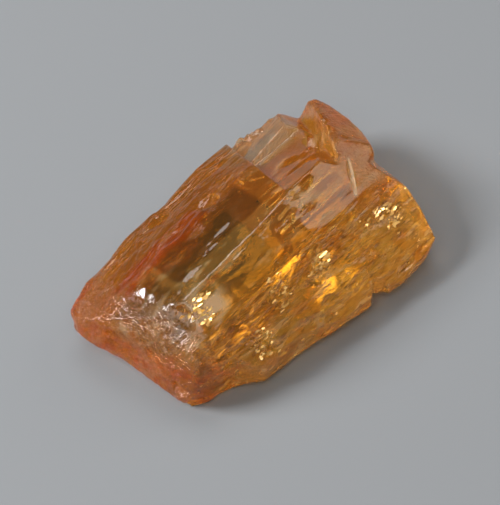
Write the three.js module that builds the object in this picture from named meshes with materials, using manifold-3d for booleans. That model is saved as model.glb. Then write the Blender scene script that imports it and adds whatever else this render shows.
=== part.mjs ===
// A rough topaz crystal: a broken, striated prism that lies on one of its prism faces.
// Millimetres, +Z up, +X along the crystal's long (c) axis. The origin is the middle of the base.
import * as THREE from "three";
import { ConvexGeometry } from "three/addons/geometries/ConvexGeometry.js";
import { LoftGeometry } from "three/addons/geometries/LoftGeometry.js";
import { MeshSurfaceSampler } from "three/addons/math/MeshSurfaceSampler.js";
import { mergeVertices } from "three/addons/utils/BufferGeometryUtils.js";
import Module from "manifold-3d";

const wasm = await Module();
wasm.setup();

// ---------- Driving dimensions ----------
const TOP = 12; // a height above the whole crystal
const FINEST = 0.012; // the surface has no detail finer than this
const SEED = 2; // the chips and striae are scattered from this

// ---------- The prism: long edges that run from end to end ----------
// Each long edge has one y and one z at each of these places along the crystal.
const STATIONS = [-14.5, -12, -9.5, -6, -2, 2, 5.5, 8.5, 11, 14.5];
const LONG_EDGES = {
  backFoot: {
    y: [8, 8, 8, 8, 8, 8, 8, 8, 8, 8],
    z: [0, 0, 0, 0, 0, 0, 0, 0, 0, 0],
  },
  backEdge: {
    y: [8, 8, 8, 8, 8, 8, 8, 8, 8, 8],
    z: [1.3, 2.2, 3.0, 3.8, 4.3, 4.7, 4.5, 4.2, 4.0, 3.8],
  },
  shoulder: {
    y: [3.4, 2.8, 2.5, 2.5, 2.6, 3.0, 3.2, 3.4, 3.6, 3.8],
    z: [4.0, 5.3, 6.3, 7.1, 7.5, 7.5, 7.3, 7.0, 6.6, 6.2],
  },
  ridge: {
    y: [-1.6, -1.7, -1.8, -1.9, -1.8, -1.4, -1.0, -0.6, -0.27, 0.2],
    z: [4.6, 6.4, 7.5, 8.1, 8.4, 8.5, 8.4, 8.1, 7.85, 7.5],
  },
  bandEdge: {
    y: [-3.6, -4.2, -4.6, -4.8, -4.8, -4.6, -4.5, -4.1, -3.77, -3.3],
    z: [3.8, 5.2, 6.2, 6.8, 7.0, 7.0, 6.8, 6.5, 6.25, 5.9],
  },
  flankEdge: {
    y: [-4.9, -5.4, -5.9, -6.5, -6.8, -6.9, -6.9, -6.8, -6.7, -6.6],
    z: [2.4, 3.2, 3.9, 4.4, 4.6, 4.7, 4.7, 4.6, 4.3, 3.9],
  },
  frontEdge: {
    y: [-6.2, -6.8, -7.8, -9.2, -9.6, -9.9, -10.2, -10.4, -10.2, -9.8],
    z: [0.6, 0.8, 0.9, 1.0, 1.2, 1.3, 1.4, 1.5, 1.7, 2.0],
  },
  frontFoot: {
    y: [-4.4, -4.8, -5.2, -5.8, -6.1, -6.3, -6.5, -6.4, -6.0, -5.6],
    z: [0, 0, 0, 0, 0, 0, 0, 0, 0, 0],
  },
};

// ---------- The broken outline, seen from above ----------
// Anticlockwise as [x, y] points.
const OUTLINE = [
  // the front side, with the lip at its left and the notch
  ...[[-12.0, -5.2], [-11.3, -5.75], [-9.6, -6.1], [-8.3, -6.3], [-6.9, -7.7], [-5.6, -7.8]],
  ...[[-3.4, -7.9], [-1.7, -8.2], [0.7, -8.9], [3.4, -9.2], [4.5, -8.4], [5.1, -8.9]],
  ...[[5.2, -9.4], [6.6, -9.7], [9.7, -9.5]],
  // the right end, up to the nub
  ...[[10.9, -9.2], [11.4, -7.3], [11.7, -4.6], [11.3, -2.6], [12.6, -0.4], [13.3, 1.7]],
  ...[[13.6, 3.7], [13.3, 5.1]],
  // the back side
  ...[[12.5, 5.7], [11.6, 6.9], [9.4, 7.95], [7.9, 7.9], [6.0, 7.6], [2.8, 7.5], [0.6, 7.3]],
  ...[[-1.9, 6.9], [-3.6, 7.1], [-6.0, 7.2], [-8.8, 6.9]],
  // the left end
  ...[[-11.1, 7.2], [-12.2, 6.9], [-13.0, 6.2], [-13.5, 5.1], [-13.6, 4.0], [-13.3, 2.7]],
  ...[[-12.6, 1.5], [-12.5, 0.4], [-12.4, -4.1]],
];

// ---------- Solids from three.js geometry ----------
// The closed solid that a geometry bounds.
function solidOf(geometry) {
  const bare = new THREE.BufferGeometry().copy(geometry);
  bare.deleteAttribute("normal");
  bare.deleteAttribute("uv");
  const merged = mergeVertices(bare, 1e-5);
  return new wasm.Manifold(
    new wasm.Mesh({
      numProp: 3,
      vertProperties: merged.attributes.position.array,
      triVerts: new Uint32Array(merged.index.array),
    }),
  );
}

// The geometry of a solid, for a mesh.
function geometryOf(solid) {
  const { numVert, numProp, vertProperties, triVerts } = solid.getMesh();
  const position = new Float32Array(numVert * 3);
  for (let i = 0; i < numVert; i++)
    position.set(vertProperties.subarray(i * numProp, i * numProp + 3), i * 3);
  return new THREE.BufferGeometry()
    .setAttribute("position", new THREE.BufferAttribute(position, 3))
    .setIndex(new THREE.BufferAttribute(new Uint32Array(triVerts), 1));
}

// A repeatable random number from 0 to 1 (mulberry32).
function randomFrom(seed) {
  let state = seed;
  return () => {
    state = (state + 0x6d2b79f5) | 0;
    let t = Math.imul(state ^ (state >>> 15), 1 | state);
    t = (t + Math.imul(t ^ (t >>> 7), 61 | t)) ^ t;
    return ((t ^ (t >>> 14)) >>> 0) / 4294967296;
  };
}
const random = randomFrom(SEED);
const between = (low, high) => THREE.MathUtils.lerp(low, high, random());

// ---------- Places on the prism's faces ----------
// The point of a long edge at x.
function edgePoint(name, x) {
  const last = STATIONS.length - 2;
  const i = Math.min(last, Math.max(0, STATIONS.findLastIndex((s) => s <= x)));
  const t = (x - STATIONS[i]) / (STATIONS[i + 1] - STATIONS[i]);
  const { y, z } = LONG_EDGES[name];
  const at = (list) => THREE.MathUtils.lerp(list[i], list[i + 1], t);
  return new THREE.Vector3(x, at(y), at(z));
}

// The place on the face between two long edges at x and a share t of the way across:
// a matrix with its X along the crystal, Y across the face and Z out of it.
function placeOnFace(from, to, x, t) {
  const REACH = 1;
  const point = (s) => edgePoint(from, s).lerp(edgePoint(to, s), t);
  const along = point(x + REACH).sub(point(x - REACH)).normalize();
  const across = edgePoint(from, x).sub(edgePoint(to, x)).normalize();
  const out = along.clone().cross(across).normalize();
  across.copy(out).cross(along);
  return new THREE.Matrix4().makeBasis(along, across, out).setPosition(point(x));
}

const turned = (x, y, z) =>
  new THREE.Matrix4().makeRotationFromEuler(new THREE.Euler(x, y, z));
const scaled = (x, y, z) => new THREE.Matrix4().makeScale(x, y, z);

// ---------- The body ----------
function prism() {
  const sections = STATIONS.map((x) =>
    Object.keys(LONG_EDGES).map((name) => edgePoint(name, x)),
  );
  return solidOf(new LoftGeometry(sections, { capStart: true, capEnd: true }));
}

function brokenOutline() {
  const shape = new THREE.Shape(OUTLINE.map(([x, y]) => new THREE.Vector2(x, y)));
  return solidOf(
    new THREE.ExtrudeGeometry(shape, { depth: TOP, bevelEnabled: false }),
  );
}

// Everything on the outer side of a plane through a point.
function outside(point, normal) {
  const SIDE = 60;
  const box = new THREE.BoxGeometry(SIDE, SIDE, SIDE).translate(0, 0, SIDE / 2);
  const face = new THREE.Quaternion().setFromUnitVectors(
    new THREE.Vector3(0, 0, 1),
    new THREE.Vector3(...normal).normalize(),
  );
  return solidOf(box.applyQuaternion(face).translate(...point));
}

// The corner that lies outside all of several planes, each a point and a normal.
function corner(planes) {
  return planes
    .map(([point, normal]) => outside(point, normal))
    .reduce((a, b) => a.intersect(b));
}

// ---------- The large breaks ----------
// Each is a list of planes: what lies outside all of them has broken away.
const BLOCK_END = [[4.0, 2.0, 7.0], [0.88, -0.08, 0.46]];
const RIDGE_SIDE = [[7.0, -0.6, 8.15], [0, 0.566, 0.824]];
const NUB_SIDE = [[11.1, 3.4, 5.4], [-0.75, 0.6, 0.3]];
const CREST = [7.5, 5.0, 5.1];
const BREAKS = [
  // the low terrace behind the ridge: a trough, and beyond its crest a steep slope to a rim
  [BLOCK_END, RIDGE_SIDE, NUB_SIDE, [CREST, [-0.04, -0.5, 0.86]]],
  [BLOCK_END, RIDGE_SIDE, NUB_SIDE, [CREST, [-0.134, 0.58, 0.8]], [[7.5, 6.8, 3.9], [0.05, 0.12, 0.99]]],
  // the terrace ends in a notch beside the nub
  [NUB_SIDE, [[12.3, 5.9, 3.4], [0.6, 0.1, 0.8]]],
  // the top of the right end, down from the ridge and along the flank
  [[[13.3, 1.7, 5.8], [0.5, 0.05, 0.87]]],
  [[[12.1, -5.4, 4.4], [0.7, -0.15, 0.7]], [[11.3, -2.6, 0], [0.25, -1, 0]]],
  // the back wall leans in towards its foot
  [[[0, 7.4, 3.0], [0, 0.88, -0.47]]],
  [[[-8, 6.8, 2.2], [-0.12, 0.85, -0.5]]],
  [[[9, 7.2, 2.6], [0.14, 0.9, -0.4]]],
  // the feet of the two ends
  [[[-13.5, 3.6, 0.6], [-0.75, 0.15, -0.6]]],
  [[[-12.5, -2.0, 0.8], [-0.6, 0, -0.6]]],
  [[[12.2, 1.0, 1.4], [0.8, 0.1, -0.6]]],
  [[[10.2, -8.6, 1.2], [0.5, -0.5, -0.7]]],
];

// The left end is worn round: planes tangent to an ellipse from the end wall to the top, from
// one height angle to another, all turned to the front and each with a little sway.
const WORN_END = { x: -13.2, z: 0.4, run: 4.4, rise: 7.2, from: 14, to: 66, planes: 7, turn: -0.15 };
function wornEnd() {
  const { x, z, run, rise, from, to, planes, turn } = WORN_END;
  return Array.from({ length: planes }, (_, i) => {
    const a = THREE.MathUtils.degToRad(from + ((to - from) * i) / (planes - 1));
    const point = [x + run * (1 - Math.cos(a)), 0, z + rise * Math.sin(a)];
    const sway = (turn + between(-0.08, 0.08)) / run;
    return outside(point, [-Math.cos(a) / run, sway, Math.sin(a) / rise]);
  });
}

// ---------- Small relief: striae, flats and chips ----------
// A spindle groove along a place's X.
function groove(place, length, width, depth) {
  const spindle = new THREE.OctahedronGeometry(1);
  return solidOf(spindle.applyMatrix4(scaled(length / 2, width / 2, depth)).applyMatrix4(place));
}

// A groove along the crystal, a little askew but never undercut: it leans by its sides' slope at most.
function stria(place, length, width, depth) {
  const slope = Math.atan((2 * depth) / width);
  const askew = turned(slope * between(-1, 1), 0, between(-0.03, 0.03));
  return groove(place.multiply(askew), length, width, depth);
}

// A straight crack across the flat band beside the ridge.
const CRACK = { x: 8.2, across: 0.66, length: 3.6, width: 0.5, depth: 0.26, turn: 0.92 };
function crack() {
  const { x, across, length, width, depth, turn } = CRACK;
  const place = placeOnFace("ridge", "bandEdge", x, across).multiply(turned(0, 0, turn));
  return groove(place, length, width, depth);
}

// A shell-shaped bite with uneven facets.
function chip(place, radius, depth) {
  const points = Array.from({ length: 28 }, () =>
    new THREE.Vector3().setFromSphericalCoords(
      radius,
      Math.acos(between(-1, 1)),
      between(0, 2 * Math.PI),
    ),
  );
  const shell = new ConvexGeometry(points)
    .applyMatrix4(scaled(1.4, 1, 0.6))
    .translate(0, 0, 0.5 * radius - depth);
  return solidOf(shell.applyMatrix4(place));
}

// What is scattered on each face: between which long edges it lies, from and to which x,
// how many striae and chips it has, and the depth of its deepest stria.
const FACES = [
  { edges: ["backEdge", "shoulder"], x: [-11, 4], striae: 34, chips: 3, depth: 0.26 },
  { edges: ["shoulder", "ridge"], x: [-9, 3], striae: 7, chips: 0, depth: 0.08 },
  { edges: ["shoulder", "ridge"], x: [6, 12], striae: 4, chips: 2, depth: 0.15 },
  { edges: ["ridge", "bandEdge"], x: [-9, 5], striae: 14, chips: 0, depth: 0.12 },
  { edges: ["ridge", "bandEdge"], x: [5, 12], striae: 3, chips: 0, depth: 0.05 },
  { edges: ["bandEdge", "flankEdge"], x: [-9, 11], striae: 50, chips: 2, depth: 0.26 },
  { edges: ["flankEdge", "frontEdge"], x: [-9, 10], striae: 60, chips: 4, depth: 0.32 },
  { edges: ["frontEdge", "frontFoot"], x: [-9, 9], striae: 12, chips: 3, depth: 0.25 },
  { edges: ["backFoot", "backEdge"], x: [-11, 11], striae: 20, chips: 5, depth: 0.25 },
  { edges: ["frontFoot", "backFoot"], x: [-11, 11], striae: 36, chips: 6, depth: 0.35 },
];

function relief() {
  const cutters = [];
  for (const { edges, x, striae, chips, depth } of FACES) {
    const place = () => placeOnFace(...edges, between(...x), between(0.05, 0.95));
    for (let i = 0; i < striae; i++) {
      const size = between(0.25, 1);
      const length = THREE.MathUtils.lerp(2, 11, size * random());
      cutters.push(stria(place(), length, between(0.4, 1.5) * size, depth * size));
    }
    for (let i = 0; i < chips; i++)
      cutters.push(chip(place(), between(0.6, 1.3), between(0.15, 0.35)));
  }
  return cutters;
}

// Shell-shaped scars on the broken ends: a place, a direction to face, a radius and a depth.
const SCARS = [
  { at: [-12.3, -4.4, 1.7], face: [-0.9, -0.2, 0.4], radius: 0.5, depth: 0.3 },
  { at: [13.0, 0.4, 2.6], face: [1, -0.4, 0.1], radius: 2.2, depth: 0.4 },
  { at: [11.8, -5.6, 2.2], face: [1, -0.1, 0.1], radius: 2.0, depth: 0.4 },
  { at: [13.4, 3.6, 2.4], face: [1, 0.2, -0.1], radius: 1.6, depth: 0.4 },
];

// The place at a point, with Z out in a direction.
function placeAt(point, direction) {
  const out = new THREE.Vector3(...direction).normalize();
  const along = new THREE.Vector3(0, 0, 1).cross(out).normalize();
  return new THREE.Matrix4()
    .makeBasis(along, out.clone().cross(along), out)
    .setPosition(...point);
}

const scars = () =>
  SCARS.map(({ at, face, radius, depth }) => chip(placeAt(at, face), radius, depth));

// Rough breaks: boxes in which the surface that doesn't face down is chipped all over.
const ROUGH_BREAKS = [
  // the worn end
  { from: [-14, -9, 0], to: [-9, 9, 9], chips: 44, radius: [0.6, 1.9], depth: [-0.04, 0.12] },
  // the upper part of the ridge's side, above the terrace
  { from: [5.5, -0.6, 5.6], to: [11, 2.4, 8.2], chips: 14, radius: [0.7, 1.5], depth: [0.04, 0.16] },
  // the terrace's rim
  { from: [4, 6.9, 3.2], to: [11.5, 9, 4.4], chips: 14, radius: [0.35, 0.8], depth: [0.1, 0.25] },
];

function roughBreaks(solid) {
  const sampler = new MeshSurfaceSampler(new THREE.Mesh(geometryOf(solid)));
  sampler.setRandomGenerator(random).build();
  const [point, out] = [new THREE.Vector3(), new THREE.Vector3()];
  return ROUGH_BREAKS.flatMap(({ from, to, chips, radius, depth }) => {
    const box = new THREE.Box3(new THREE.Vector3(...from), new THREE.Vector3(...to));
    return Array.from({ length: chips }, () => {
      do sampler.sample(point, out);
      while (!box.containsPoint(point) || out.z < -0.5);
      return chip(placeAt(point, out), between(...radius), between(...depth));
    });
  });
}

// Chips round the foot of the outline, where the crystal has knocked against others.
const FOOT_CHIPS = 18;
function footChips() {
  return Array.from({ length: FOOT_CHIPS }, () => {
    const i = Math.floor(random() * OUTLINE.length);
    const [from, to] = [OUTLINE[i], OUTLINE[(i + 1) % OUTLINE.length]];
    const [dx, dy] = [to[0] - from[0], to[1] - from[1]];
    const place = placeAt([from[0] + dx / 2, from[1] + dy / 2, between(0.2, 2)], [dy, -dx, -0.5]);
    return chip(place, between(0.6, 1.4), between(0.15, 0.35));
  });
}

// ---------- The crystal ----------
let body = prism().intersect(brokenOutline());
for (const planes of BREAKS) body = body.subtract(corner(planes));
for (const cutter of [...wornEnd(), ...relief(), crack(), ...scars(), ...footChips()])
  body = body.subtract(cutter);
for (const cutter of roughBreaks(body)) body = body.subtract(cutter);
// slivers of the surface go, and splinters that the cuts leave loose fall away
body = body.simplify(FINEST).decompose().sort((a, b) => b.volume() - a.volume())[0];

const geometry = geometryOf(body);
geometry.computeBoundingBox();
const middle = geometry.boundingBox.getCenter(new THREE.Vector3());
geometry.translate(-middle.x, -middle.y, 0);

const crystal = new THREE.Mesh(
  geometry,
  new THREE.MeshStandardMaterial({
    color: 0xc8772a,
    roughness: 0.08,
    metalness: 0,
    transparent: true,
    opacity: 0.75,
  }),
);
crystal.name = "topaz_crystal";

const part = new THREE.Group();
part.add(crystal);
export default part;
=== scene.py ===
import math

import bpy
import numpy as np
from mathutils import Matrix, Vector, noise


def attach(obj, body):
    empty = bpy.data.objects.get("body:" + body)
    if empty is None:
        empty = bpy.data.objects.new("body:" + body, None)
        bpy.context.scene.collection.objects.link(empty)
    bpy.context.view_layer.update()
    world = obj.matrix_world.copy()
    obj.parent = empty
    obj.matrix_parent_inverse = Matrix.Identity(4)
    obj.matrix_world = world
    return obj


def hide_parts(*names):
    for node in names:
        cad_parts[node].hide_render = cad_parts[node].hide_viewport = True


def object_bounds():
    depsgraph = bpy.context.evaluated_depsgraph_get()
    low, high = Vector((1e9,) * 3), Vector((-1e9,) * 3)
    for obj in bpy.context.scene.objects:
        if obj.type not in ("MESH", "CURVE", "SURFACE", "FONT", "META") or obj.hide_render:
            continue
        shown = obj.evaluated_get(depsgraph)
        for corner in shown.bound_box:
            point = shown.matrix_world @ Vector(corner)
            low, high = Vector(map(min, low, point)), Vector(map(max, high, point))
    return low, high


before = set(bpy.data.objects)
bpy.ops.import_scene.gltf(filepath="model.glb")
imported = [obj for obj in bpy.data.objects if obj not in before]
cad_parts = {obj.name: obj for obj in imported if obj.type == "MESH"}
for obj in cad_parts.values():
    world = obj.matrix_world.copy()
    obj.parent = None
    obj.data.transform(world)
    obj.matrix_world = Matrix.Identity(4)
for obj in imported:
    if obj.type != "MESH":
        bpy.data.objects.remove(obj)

MM = 0.001
cad_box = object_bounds()


# ---------- Camera, light and floor ----------
CAMERA_TURN = math.radians(48)  # from looking along +Y towards +X
CAMERA_HEIGHT = math.radians(52)  # above the horizon
CAMERA_DISTANCE = 180 * MM
CAMERA_TARGET = Vector((0, 0.93 * MM, 3 * MM))
CAMERA_LENS = 170.0
CAMERA_SENSOR = 36.0
CAMERA_NEAREST = 5 * MM

AHEAD = Vector((math.sin(CAMERA_TURN), math.cos(CAMERA_TURN), 0))
RIGHT = Vector((math.cos(CAMERA_TURN), -math.sin(CAMERA_TURN), 0))
UP = Vector((0, 0, 1))

WORLD_COLOR = (1.0, 0.94, 0.86, 1)
WORLD_STRENGTH = 0.09

# Each light's direction from the crystal as shares of RIGHT, AHEAD and UP, its distance and its width
# and height in metres, its power in watts and its colour.
LIGHTS = {
    "window": ((-1.0, -0.05, 0.75), 0.6, (0.2, 0.2), 4.5, (0.98, 1.0, 1.0)),
    "ceiling": ((0.66, 0.42, 0.62), 0.7, (0.3, 0.3), 0.5, (1.0, 0.95, 0.85)),
    "front": ((-0.1, -0.5, 0.85), 0.8, (0.6, 0.6), 2.6, (1.0, 0.97, 0.92)),
    "back": ((-0.1, 0.5, 0.85), 0.7, (0.45, 0.3), 1.4, (1.0, 1.0, 1.0)),
}

FLOOR_SIZE = 3
FLOOR_GAP = 0.03 * MM  # air under the crystal, so that light leaves it before it meets the floor
FLOOR_COLOR = (0.24, 0.25, 0.266, 1)
FLOOR_ROUGHNESS = 0.75

LIGHT_BOUNCES = 24  # enough for light to cross the crystal and come back
GLOSSY_BOUNCES = 12


def make_camera():
    back = UP * math.sin(CAMERA_HEIGHT) - AHEAD * math.cos(CAMERA_HEIGHT)
    data = bpy.data.cameras.new("camera")
    data.lens = CAMERA_LENS
    data.sensor_width = CAMERA_SENSOR
    data.clip_start = CAMERA_NEAREST
    camera = bpy.data.objects.new("camera", data)
    camera.location = CAMERA_TARGET + back * CAMERA_DISTANCE
    camera.rotation_euler = (-back).to_track_quat("-Z", "Y").to_euler()
    bpy.context.scene.collection.objects.link(camera)
    bpy.context.scene.camera = camera


def make_light(name, shares, distance, size, power, color):
    """A soft light that faces the crystal."""
    data = bpy.data.lights.new(name, "AREA")
    data.shape = "RECTANGLE"
    data.size, data.size_y = size
    data.energy = power
    data.color = color
    right, ahead, up = shares
    direction = RIGHT * right + AHEAD * ahead + UP * up
    light = bpy.data.objects.new(name, data)
    light.location = direction.normalized() * distance
    light.rotation_euler = (-direction).to_track_quat("-Z", "Y").to_euler()
    bpy.context.scene.collection.objects.link(light)


def make_world():
    world = bpy.data.worlds.new("studio")
    world.use_nodes = True
    background = world.node_tree.nodes["Background"]
    background.inputs["Color"].default_value = WORLD_COLOR
    background.inputs["Strength"].default_value = WORLD_STRENGTH
    bpy.context.scene.world = world


def make_floor():
    bpy.ops.mesh.primitive_plane_add(size=FLOOR_SIZE, location=(0, 0, -FLOOR_GAP))
    floor = bpy.context.object
    floor.name = "floor"
    material = bpy.data.materials.new("floor")
    material.use_nodes = True
    shader = material.node_tree.nodes["Principled BSDF"]
    shader.inputs["Base Color"].default_value = FLOOR_COLOR
    shader.inputs["Roughness"].default_value = FLOOR_ROUGHNESS
    floor.data.materials.append(material)


# ---------- Single features, in mm ----------
# where flakes inside the crystal glitter, on its front side and on the ridge, and how far round each
GLITTER = [(1.2, -5.0, 5.4), (-2.9, -4.6, 5.9), (-5.8, -5.8, 3.9), (8.7, -5.5, 4.8), (-8.6, -2.0, 7.0)]
GLITTER_REACH = (1.3, 0.65)

# the middle of a cream veil on the ridge near the left end, and its reach
CREAM = (-8.0, -2.2, 7.1)
CREAM_REACH = (2.4, 0.8)

# the crack across the band beside the ridge, painted pale as the highlight of its glint: its middle
# and its direction, and its reach from its middle to the side and along it
CRACK = (8.2, -2.02, 7.07)
CRACK_ALONG = (0.606, 0.708, 0.366)
CRACK_WIDTH = (0.3, 0.15)
CRACK_LENGTH = (1.9, 1.5)


# ---------- The crystal's surface ----------
REMESH_DEPTH = 8
REMESH_SCALE = 0.84

# the spans of the surface's zones, in mm
SHAPE_LEFT_X = (-8.5, -11.5)
SHAPE_RIGHT_X = (8.5, 11)
SHAPE_RIGHT_Y = (-4.5, -2.5)
SHAPE_FLANK_Y = (-3.6, -4.6)
SHAPE_BACK_X = (5, 3)
SHAPE_BACK_Y = (3.0, 4.5)
SHAPE_OFF_FLOOR_Z = (0.02, 0.3)  # the face that the crystal lies on stays flat

WEAR = 0.13  # the share of the way to its neighbours' middle that a point moves in each round
WEAR_AT_ENDS = 0.4  # added to that at the worn ends
WEAR_ROUNDS = 8

# Each kind of relief has its size in mm along each axis, its seed and, for noise, its octaves.
STRIAE = ((4, 0.4, 0.4), 1, 4)
DASHES = ((1.4, 0.22, 0.22), 3, 2)
UNEVEN = ((1.6, 1.2, 1.2), 2, 3)
FLATS = ((0.9, 0.5, 0.5), 4)

# the heights of the relief, in mm
STRIAE_HEIGHT = 0.004
STRIAE_ON_FLANK = 0.012  # added to that
STRIAE_BACK_SHARE = 0.8  # the back has this share of what the flank has
DASHES_HEIGHT = 0.01
UNEVEN_HEIGHT = 0.006
UNEVEN_AT_ENDS = 0.02  # added to that
FLATS_AT_GLITTER = 0.02
FLATS_AT_LEFT = 0.04

FRACTAL_FALLOFF = 0.8
FRACTAL_LACUNARITY = 2.0
SHAPE_SEED_STEP = 17.3  # how far one seed's noise is from the next one's
CELL_SCATTER = 9.7  # spreads the cells' middles, so that each has a direction of its own


def fine_copy(node):
    """The CAD node's form as an even fine mesh, with its edges kept."""
    piece = bpy.data.objects.new("crystal", node.data.copy())
    bpy.context.scene.collection.objects.link(piece)
    remesh = piece.modifiers.new("remesh", "REMESH")
    remesh.mode = "SHARP"
    remesh.octree_depth = REMESH_DEPTH
    remesh.scale = REMESH_SCALE
    remesh.sharpness = 1.0
    bpy.context.view_layer.update()
    evaluated = piece.evaluated_get(bpy.context.evaluated_depsgraph_get())
    mesh = bpy.data.meshes.new_from_object(evaluated)
    piece.modifiers.clear()
    piece.data = mesh
    mesh.name = "crystal"
    return piece


def vectors_of(vertices, field):
    flat = np.empty(len(vertices) * 3)
    vertices.foreach_get(field, flat)
    return flat.reshape(-1, 3)


def edges_of(mesh):
    flat = np.empty(len(mesh.edges) * 2, dtype=int)
    mesh.edges.foreach_get("vertices", flat)
    return flat.reshape(-1, 2)


def move_to(mesh, points):
    mesh.vertices.foreach_set("co", points.ravel())
    mesh.update()


def relaxed(points, edges, share, rounds):
    """Moves each point towards the middle of its neighbours by its share."""
    count = np.bincount(edges.ravel(), minlength=len(points))[:, None]
    for _ in range(rounds):
        total = np.zeros_like(points)
        np.add.at(total, edges[:, 0], points[edges[:, 1]])
        np.add.at(total, edges[:, 1], points[edges[:, 0]])
        points = points + share * (total / count - points)
    return points


def smoothstep(value, start, full):
    t = np.clip((value - start) / (full - start), 0, 1)
    return t * t * (3 - 2 * t)


def seeded(points, size, seed):
    """The points in units of a size in mm along each axis, moved on by a seed."""
    return points / (np.array(size) * MM) + seed * SHAPE_SEED_STEP


def grain(points, size, seed, octaves):
    """Fractal noise from about -1 to 1."""
    return np.array([
        noise.fractal(Vector(p), FRACTAL_FALLOFF, FRACTAL_LACUNARITY, octaves)
        for p in seeded(points, size, seed)
    ])


def mosaic(points, size, seed):
    """Flat facets that lean at random, about -0.5 to 0.5 high."""
    heights = []
    for p in seeded(points, size, seed):
        spot = Vector(p)
        centre = noise.voronoi(spot)[1][0]
        lean = noise.cell_vector(centre * CELL_SCATTER) * 2 - Vector((1, 1, 1))
        heights.append(lean.dot(spot - centre))
    return np.array(heights)


def shape_crystal(piece):
    """Wears the mesh's edges and adds the fine relief, inside the CAD model's box."""
    mesh = piece.data
    points = vectors_of(mesh.vertices, "co")
    x, y, z = (points / MM).T
    left = smoothstep(x, *SHAPE_LEFT_X)
    right = smoothstep(x, *SHAPE_RIGHT_X) * smoothstep(y, *SHAPE_RIGHT_Y)
    flank = smoothstep(y, *SHAPE_FLANK_Y) * (1 - left)
    back = smoothstep(x, *SHAPE_BACK_X) * smoothstep(y, *SHAPE_BACK_Y) * (1 - left)
    off_floor = smoothstep(z, *SHAPE_OFF_FLOOR_Z)
    ends = np.maximum(left, right)

    wear = (WEAR + WEAR_AT_ENDS * ends) * off_floor
    points = relaxed(points, edges_of(mesh), wear[:, None], WEAR_ROUNDS)
    move_to(mesh, points)

    nearest = np.min([np.linalg.norm(points / MM - place, axis=1) for place in GLITTER], axis=0)
    glitter = smoothstep(nearest, *GLITTER_REACH)
    striated = np.maximum(flank, STRIAE_BACK_SHARE * back)
    height = (
        grain(points, *STRIAE) * (STRIAE_HEIGHT + STRIAE_ON_FLANK * striated)
        + grain(points, *DASHES) * DASHES_HEIGHT * (flank + back)
        + grain(points, *UNEVEN) * (UNEVEN_HEIGHT + UNEVEN_AT_ENDS * ends)
        + mosaic(points, *FLATS) * (FLATS_AT_GLITTER * glitter + FLATS_AT_LEFT * left)
    )
    normals = vectors_of(mesh.vertices, "normal")
    points = points + normals * (height * off_floor * MM)[:, None]
    low, high = (np.array(corner) for corner in cad_box)
    move_to(mesh, np.clip(points, low, high))
    mesh.shade_smooth()


# ---------- The crystal's material: its values ----------
IOR = 1.62
CLEARNESS = 0.93  # transmission where nothing clouds it
ABSORPTION_COLOR = (0.998, 0.93, 0.75, 1)
ABSORPTION_DENSITY = 170

GOLD = (1.0, 0.54, 0.07, 1)
AMBER = (1.0, 0.37, 0.01, 1)
RED = (1.0, 0.22, 0.002, 1)
OLIVE = (0.86, 0.58, 0.16, 1)
# dark smoky brown; over the window and in the front's dashes it is painted shade
SMOKE_AND_SHADE = (0.36, 0.17, 0.02, 1)
# pale veil colour, also painted on the crack as the highlight of its glint
VEIL_AND_GLINT = (1.0, 0.74, 0.46, 1)
CLEAR_AND_SHEEN = (0.96, 0.82, 0.62, 1)
FLAKE = (1.0, 0.62, 0.15, 1)

# Noise patterns: the size in mm along each axis, the seed and the detail.
PATTERNS = {
    "clouds": ((2.4, 2.0, 2.0), 1, 2.0),
    "streaks": ((5.0, 0.9, 0.9), 2, 2.0),
    "patches": ((2.2, 0.8, 0.8), 3, 2.0),
    "marks": ((0.9, 0.18, 0.18), 9, 1.0),
    "wisps": ((1.2, 0.4, 0.4), 10, 6.0),
    "hairs": ((1.2, 0.16, 0.16), 12, 3.0),
    "pits": ((1.4, 0.16, 0.16), 14, 2.0),
    "mottle": ((0.9, 0.5, 0.5), 15, 3.0),
    "grit": ((0.3, 0.18, 0.18), 16, 3.0),
    "threads": ((2.0, 0.35, 0.35), 17, 3.0),
}

# What is picked out of the patterns: the pattern, and the span of its values.
PICKED = {
    "amber clouds": ("clouds", 0.5, 0.62),
    "red streaks": ("streaks", 0.36, 0.46),
    "rim streaks": ("streaks", 0.45, 0.6),
    "veil patches": ("patches", 0.52, 0.7),
    "cream patches": ("patches", 0.34, 0.58),
    "marks": ("marks", 0.58, 0.64),
    "wisps": ("wisps", 0.5, 0.62),
    "pits": ("pits", 0.56, 0.66),
    "mottle": ("mottle", 0.5, 0.64),
    "threads": ("threads", 0.5, 0.6),
}

# Rectangles seen from above, in mm: from and to along x and along y, and how wide the soft edge is.
RECTANGLES = {
    # the window, which gets a dark tint as painted shade for the shadowed floor seen through it
    "window": ((-8.2, 1.4), (0.4, 4.0), 0.4),
    "block": ((0.8, 4.6), (-0.4, 4.6), 0.6),
    "ridge side": ((4.0, 10.6), (-0.6, 4.6), 0.4),
    "terrace": ((4.0, 11.0), (4.8, 12.0), 0.4),
    "nub": ((10.0, 16.0), (1.4, 12.0), 0.8),
    "wedge": ((5.6, 12.0), (-3.6, 0.6), 0.6),
    "streak": ((-11.0, -1.6), (2.9, 5.4), 0.7),
    "smoky end": ((-13.0, -8.2), (-3.0, 3.6), 1.0),
}

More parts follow.
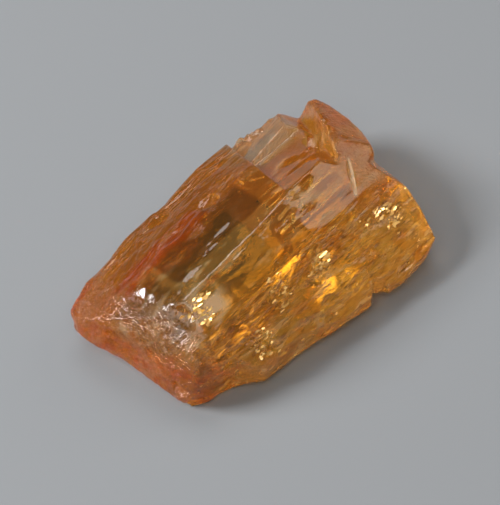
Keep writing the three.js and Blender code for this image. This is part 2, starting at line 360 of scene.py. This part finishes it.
# Fades along one axis: the axis, and the span in mm. The edges of those on a wild axis wander.
FADES = {
    "left": ("wild x", -9.0, -11.5),
    "left half": ("x", -4.0, -8.0),
    "left third": ("x", -6.0, -9.0),
    "right end": ("x", 6.0, 9.0),
    "left of terrace": ("x", 6.0, 4.0),
    "left of block": ("wild x", 5.0, 3.0),
    "front": ("y", -3.2, -4.8),
    "front foot": ("y", -4.0, -6.5),
    "behind front": ("wild y", -2.6, -1.6),
    "behind shoulder": ("wild y", 3.0, 4.0),
    "before back": ("y", 5.0, 1.0),
    "before shoulder": ("wild y", 4.0, 2.0),
    "low": ("wild z", 4.6, 3.2),
}
WILD = 4.0  # how far the edges of wild fades wander with the clouds, in mm
CRISP_SHARE = 0.3  # the rectangles' edges wander by this share of it

# The tints laid over the gold one after another: where, the share at most, and the colour.
TINTS = [
    ("amber clouds", 0.7, AMBER),
    ("top", 0.7, OLIVE),
    # painted shade: a dark tint over the window for the shadowed floor seen through the crystal
    ("window", 0.9, SMOKE_AND_SHADE),
    ("block", 0.7, AMBER),
    ("ridge side and nub", 0.8, AMBER),
    # a paler, clearer tint on the terrace, which also paints in the grey sheen of the sky it reflects
    ("terrace", 0.8, CLEAR_AND_SHEEN),
    ("wedge", 0.5, OLIVE),
    ("wedge threads", 0.6, AMBER),
    ("back", 0.85, AMBER),
    ("red streak", 1.0, RED),
    ("left top", 0.7, OLIVE),
    ("rim", 1.0, AMBER),
    ("red rim", 1.0, RED),
    ("smoky end", 0.7, SMOKE_AND_SHADE),
    # the veils' pale colour, which also paints the crack's glint on as a highlight
    ("veils", 1.0, VEIL_AND_GLINT),
    ("flakes", 1.0, FLAKE),
    ("nub mottle", 0.4, SMOKE_AND_SHADE),
    # painted shade: dark dashes along the front's striae, for the dark that their grooves show
    ("front groove shade", 0.7, SMOKE_AND_SHADE),
]

# how strong each kind of veil is at most
PATCH_VEIL = 0.4
WISP_VEIL = 0.55
CREAM_VEIL = 0.8
WISPS_ON_LEFT_HALF = 0.4  # the wisps' share there, which is whole at the left end
VEIL_FREE = 0.7  # the share of the veils that the window and the back are free of

# Flakes are cells chosen by chance: the size of a cell in mm along each axis, and the seed.
FLAKE_CELLS = ((0.34, 0.15, 0.15), 18)
FLAKES_IN_CLUSTERS = 0.5  # the share of the cells that are flakes
FLAKES_ON_FRONT = 0.02
FLAKE_EDGE = (1.0, 1.01)  # a cell's chance and its share add up to this where it is a flake
FLAKE_METALLIC = 0.27
CLEAVAGE = (-0.45, -0.34, 0.83)  # the flakes' normals are near this direction
FLAKE_LEAN = 1.1  # and lean from it by up to about half of this
CLUSTER_UNEVEN = 3.0  # how far the clusters' edges wander with the patches, in mm

# The roughness everywhere, what is added to it, and the least that a flake has. Of the frost's and the
# veils' only the greater is added.
ROUGH = 0.04
ROUGH_FRONT = 0.12
ROUGH_FROST = 0.09
ROUGH_VEILS = 0.25
ROUGH_FLAKES = 0.3

# what is taken from the transmission
CLOUDY_VEILS = 0.3
CLOUDY_FRONT_FOOT = 0.2

# Mosaics of the finest facets: the size of a facet in mm along each axis, and the seed.
GLITTER_FACETS = ((0.3, 0.2, 0.2), 7)
UNDERSIDE_FACETS = ((1.4, 0.8, 0.8), 8)
CRUMBS = ((0.4, 0.26, 0.26), 11)

# the heights of the finest relief, in mm
PITS_HEIGHT = -0.03
GLITTER_HEIGHT = 0.04
UNDERSIDE_HEIGHT = 0.35
CRUMBS_HEIGHT = 0.14
GRIT_HEIGHT = 0.05
UNDERSIDE = (0.4, 0.7)  # how far down a face looks there

MIDDLE = 0.5  # of a noise or of a random colour
NODE_SEED_STEP = 7.3  # how far one seed's noise is from the next one's


# ---------- The crystal's material: its nodes ----------
class Nodes:
    """Short calls for a material's nodes. An input is a number, a tuple or another node's output.

    The spot is the point of the crystal that is being shaded.
    """

    def __init__(self, tree):
        self.tree = tree
        self.spot = self.add("TexCoord", {}, output="Object")

    def fill(self, node, inputs):
        for key, value in inputs.items():
            if isinstance(value, bpy.types.NodeSocket):
                self.tree.links.new(value, node.inputs[key])
            else:
                node.inputs[key].default_value = value

    def add(self, kind, inputs, output=0, **settings):
        node = self.tree.nodes.new("ShaderNode" + kind)
        for name, value in settings.items():
            setattr(node, name, value)
        self.fill(node, inputs)
        return node.outputs[output]

    def calc(self, operation, first, *others):
        """One number worked out of two or more, in their order."""
        for other in others:
            first = self.add("Math", {0: first, 1: other}, operation=operation)
        return first

    def plus(self, *numbers):
        return self.calc("ADD", *numbers)

    def minus(self, *numbers):
        return self.calc("SUBTRACT", *numbers)

    def times(self, *numbers):
        return self.calc("MULTIPLY", *numbers)

    def most(self, *numbers):
        return self.calc("MAXIMUM", *numbers)

    def outside(self, share):
        """1 where a share is 0, and 0 where it is 1."""
        return self.minus(1.0, share)

    def step(self, value, start, full):
        inputs = {"Value": value, "From Min": start, "From Max": full}
        return self.add("MapRange", inputs, interpolation_type="SMOOTHSTEP")

    def fade(self, length, start, full):
        """A step over a span in mm."""
        return self.step(length, start * MM, full * MM)

    def mix(self, share, a, b):
        """A mix of two colours, which are inputs 6 and 7 and output 2 of the node."""
        return self.add("Mix", {0: share, 6: a, 7: b}, output=2, data_type="RGBA")

    def vector(self, operation, a, b=(0, 0, 0)):
        """A vector worked out of one or two."""
        return self.add("VectorMath", {0: a, 1: b}, operation=operation)

    def measure(self, operation, a, b=(0, 0, 0)):
        """A number worked out of one or two vectors."""
        return self.add("VectorMath", {0: a, 1: b}, output="Value", operation=operation)

    def distance(self, place):
        """How far the spot is from a place in mm."""
        return self.measure("DISTANCE", self.spot, tuple(c * MM for c in place))

    def within(self, value, span, edge):
        """1 where a value is inside a span in mm, with soft edges."""
        low, high = span
        return self.times(self.fade(value, low, low + edge), self.fade(value, high, high - edge))

    def rectangle(self, x, y, x_span, y_span, edge):
        """1 inside a rectangle in mm, seen from above, with soft edges."""
        return self.times(self.within(x, x_span, edge), self.within(y, y_span, edge))

    def scaled(self, size, seed):
        """The spot in units of a size in mm along each axis, moved on by a seed."""
        grown = self.vector("MULTIPLY", self.spot, tuple(1 / (s * MM) for s in size))
        return self.vector("ADD", grown, (seed * NODE_SEED_STEP,) * 3)

    def noise(self, size, seed, detail):
        inputs = {"Vector": self.scaled(size, seed), "Scale": 1.0, "Detail": detail}
        return self.add("TexNoise", inputs)

    def cells(self, place):
        """A node that has a random colour and the middle of the cell at a place."""
        return self.add("TexVoronoi", {"Vector": place, "Scale": 1.0}).node

    def mosaic(self, size, seed):
        """Flat facets that lean at random."""
        place = self.scaled(size, seed)
        cells = self.cells(place)
        lean = self.vector("SUBTRACT", cells.outputs["Color"], (MIDDLE,) * 3)
        offset = self.vector("SUBTRACT", place, cells.outputs["Position"])
        return self.measure("DOT_PRODUCT", lean, offset)


def zones_of(n, noises):
    """Where each picked part, rectangle, fade and zone is, as a share from 0 to 1."""
    x, y, z = n.add("SeparateXYZ", {0: n.spot}).node.outputs
    wander = n.times(n.minus(noises["clouds"], MIDDLE), WILD * MM)
    crisp = n.times(wander, CRISP_SHARE)
    crisp_x, crisp_y = n.plus(x, crisp), n.plus(y, crisp)
    axes = {"x": x, "y": y}
    axes |= {"wild x": n.plus(x, wander), "wild y": n.plus(y, wander), "wild z": n.plus(z, wander)}

    at = {name: n.step(noises[pattern], *span) for name, (pattern, *span) in PICKED.items()}
    at |= {name: n.rectangle(crisp_x, crisp_y, *form) for name, form in RECTANGLES.items()}
    at |= {name: n.fade(axes[axis], *span) for name, (axis, *span) in FADES.items()}

    at["top"] = n.times(at["behind front"], at["left of block"])
    at["back"] = n.times(at["behind shoulder"], at["left of terrace"])
    at["rim"] = n.times(at["left"], at["low"])
    at["red rim"] = n.times(at["rim"], at["rim streaks"])
    at["left top"] = n.times(at["left"], at["before shoulder"])
    at["smoky end"] = n.calc("MINIMUM", at["smoky end"], n.outside(at["rim"]))
    at["red streak"] = n.times(at["streak"], at["red streaks"])
    at["ridge side and nub"] = n.most(at["ridge side"], at["nub"])
    at["wedge threads"] = n.times(at["wedge"], at["threads"])
    at["nub mottle"] = n.times(at["nub"], at["mottle"])
    at["front groove shade"] = n.times(at["front"], at["marks"])
    return at


def crack_highlight_of(n):
    """A narrow straight line where the crack's glint is painted on as a pale highlight, worked out
    from how far the spot is along it and beside it.
    """
    from_middle = n.vector("SUBTRACT", n.spot, tuple(c * MM for c in CRACK))
    along = n.vector("PROJECT", from_middle, CRACK_ALONG)
    aside = n.vector("SUBTRACT", from_middle, along)
    narrow = n.fade(n.measure("LENGTH", aside), *CRACK_WIDTH)
    return n.times(narrow, n.fade(n.measure("LENGTH", along), *CRACK_LENGTH))


def veils_and_crack_highlight_of(n, at):
    """Pale veils, and the crack's glint painted on as a pale highlight."""
    left_inside = n.times(n.minus(at["left"], at["rim"]), n.outside(at["back"]))
    wispy = n.most(left_inside, n.times(at["left half"], WISPS_ON_LEFT_HALF))
    cream = n.times(n.fade(n.distance(CREAM), *CREAM_REACH), at["cream patches"])
    veils = n.most(
        n.times(at["veil patches"], PATCH_VEIL),
        n.times(at["wisps"], wispy, WISP_VEIL),
        n.times(cream, CREAM_VEIL),
    )
    free = n.most(at["rim"], n.times(n.most(at["back"], at["window"]), VEIL_FREE))
    return n.most(n.times(veils, n.outside(free)), crack_highlight_of(n))


def clusters_of(n, noises):
    """Where the flakes gather."""
    uneven = n.times(n.minus(noises["patches"], MIDDLE), CLUSTER_UNEVEN * MM)
    return n.most(*(n.fade(n.plus(n.distance(place), uneven), *GLITTER_REACH) for place in GLITTER))


def flakes_of(n, at):
    """Where the flakes are, and which way each of them faces."""
    colors = n.cells(n.scaled(*FLAKE_CELLS)).outputs["Color"]
    chance = n.measure("DOT_PRODUCT", colors, (0, 1, 0))
    share = n.most(n.times(at["clusters"], FLAKES_IN_CLUSTERS), n.times(at["front"], FLAKES_ON_FRONT))
    flakes = n.step(n.plus(chance, share), *FLAKE_EDGE)
    lean = n.vector("MULTIPLY", n.vector("SUBTRACT", colors, (MIDDLE,) * 3), (FLAKE_LEAN,) * 3)
    return flakes, n.vector("NORMALIZE", n.vector("ADD", lean, CLEAVAGE))


def color_of(n, at):
    """Gold with each tint laid over it in turn."""
    color = GOLD
    for where, share, tint in TINTS:
        color = n.mix(n.times(at[where], share), color, tint)
    return color


def roughness_of(n, at):
    bare = n.outside(n.most(at["front"], at["rim"]))
    frost = n.times(at["left third"], at["before back"], bare, ROUGH_FROST)
    satin = n.times(at["veils"], ROUGH_VEILS)
    rough = n.plus(n.most(frost, satin), n.times(at["front"], ROUGH_FRONT), ROUGH)
    return n.most(rough, n.times(at["flakes"], ROUGH_FLAKES))


def transmission_of(n, at):
    cloudy = n.plus(n.times(at["veils"], CLOUDY_VEILS), n.times(at["front foot"], CLOUDY_FRONT_FOOT))
    return n.minus(CLEARNESS, cloudy)


def bump_of(n, noises, at):
    """The normal of the finest relief: pits, facets, crumbs and grit."""
    normal = n.add("NewGeometry", {}, output="Normal")
    underside = n.step(n.measure("DOT_PRODUCT", normal, (0, 0, -1)), *UNDERSIDE)
    crumbs = n.plus(n.mosaic(*CRUMBS), noises["hairs"])
    worn = n.times(at["right end"], n.outside(at["front"]))
    height = n.plus(
        n.times(at["pits"], n.most(at["front"], at["back"]), PITS_HEIGHT),
        n.times(n.mosaic(*GLITTER_FACETS), at["clusters"], GLITTER_HEIGHT),
        n.times(n.mosaic(*UNDERSIDE_FACETS), underside, UNDERSIDE_HEIGHT),
        n.times(crumbs, at["left"], CRUMBS_HEIGHT),
        n.times(noises["grit"], worn, GRIT_HEIGHT),
    )
    return n.add("Bump", {"Height": height, "Distance": MM, "Strength": 1.0})


def make_topaz():
    material = bpy.data.materials.new("topaz")
    material.use_nodes = True
    tree = material.node_tree
    n = Nodes(tree)
    noises = {name: n.noise(*pattern) for name, pattern in PATTERNS.items()}
    at = zones_of(n, noises)
    at["veils"] = veils_and_crack_highlight_of(n, at)
    at["clusters"] = clusters_of(n, noises)
    at["flakes"], flake_normal = flakes_of(n, at)
    look = {
        "Base Color": color_of(n, at),
        "Roughness": roughness_of(n, at),
        "Normal": n.mix(at["flakes"], bump_of(n, noises, at), flake_normal),
        "Metallic": n.times(at["flakes"], FLAKE_METALLIC),
        "Transmission Weight": transmission_of(n, at),
        "IOR": IOR,
    }
    n.fill(tree.nodes["Principled BSDF"], look)
    absorption = n.add("VolumeAbsorption", {"Color": ABSORPTION_COLOR, "Density": ABSORPTION_DENSITY})
    n.fill(tree.nodes["Material Output"], {"Volume": absorption})
    return material


# ---------- The scene ----------
make_camera()
make_world()
for name, light in LIGHTS.items():
    make_light(name, *light)
make_floor()

crystal = fine_copy(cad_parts["topaz_crystal"])
shape_crystal(crystal)
crystal.data.materials.clear()
crystal.data.materials.append(make_topaz())
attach(crystal, "root")
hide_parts("topaz_crystal")

scene = bpy.context.scene
scene.view_settings.view_transform = "Standard"
scene.cycles.max_bounces = LIGHT_BOUNCES
scene.cycles.transmission_bounces = LIGHT_BOUNCES
scene.cycles.glossy_bounces = GLOSSY_BOUNCES
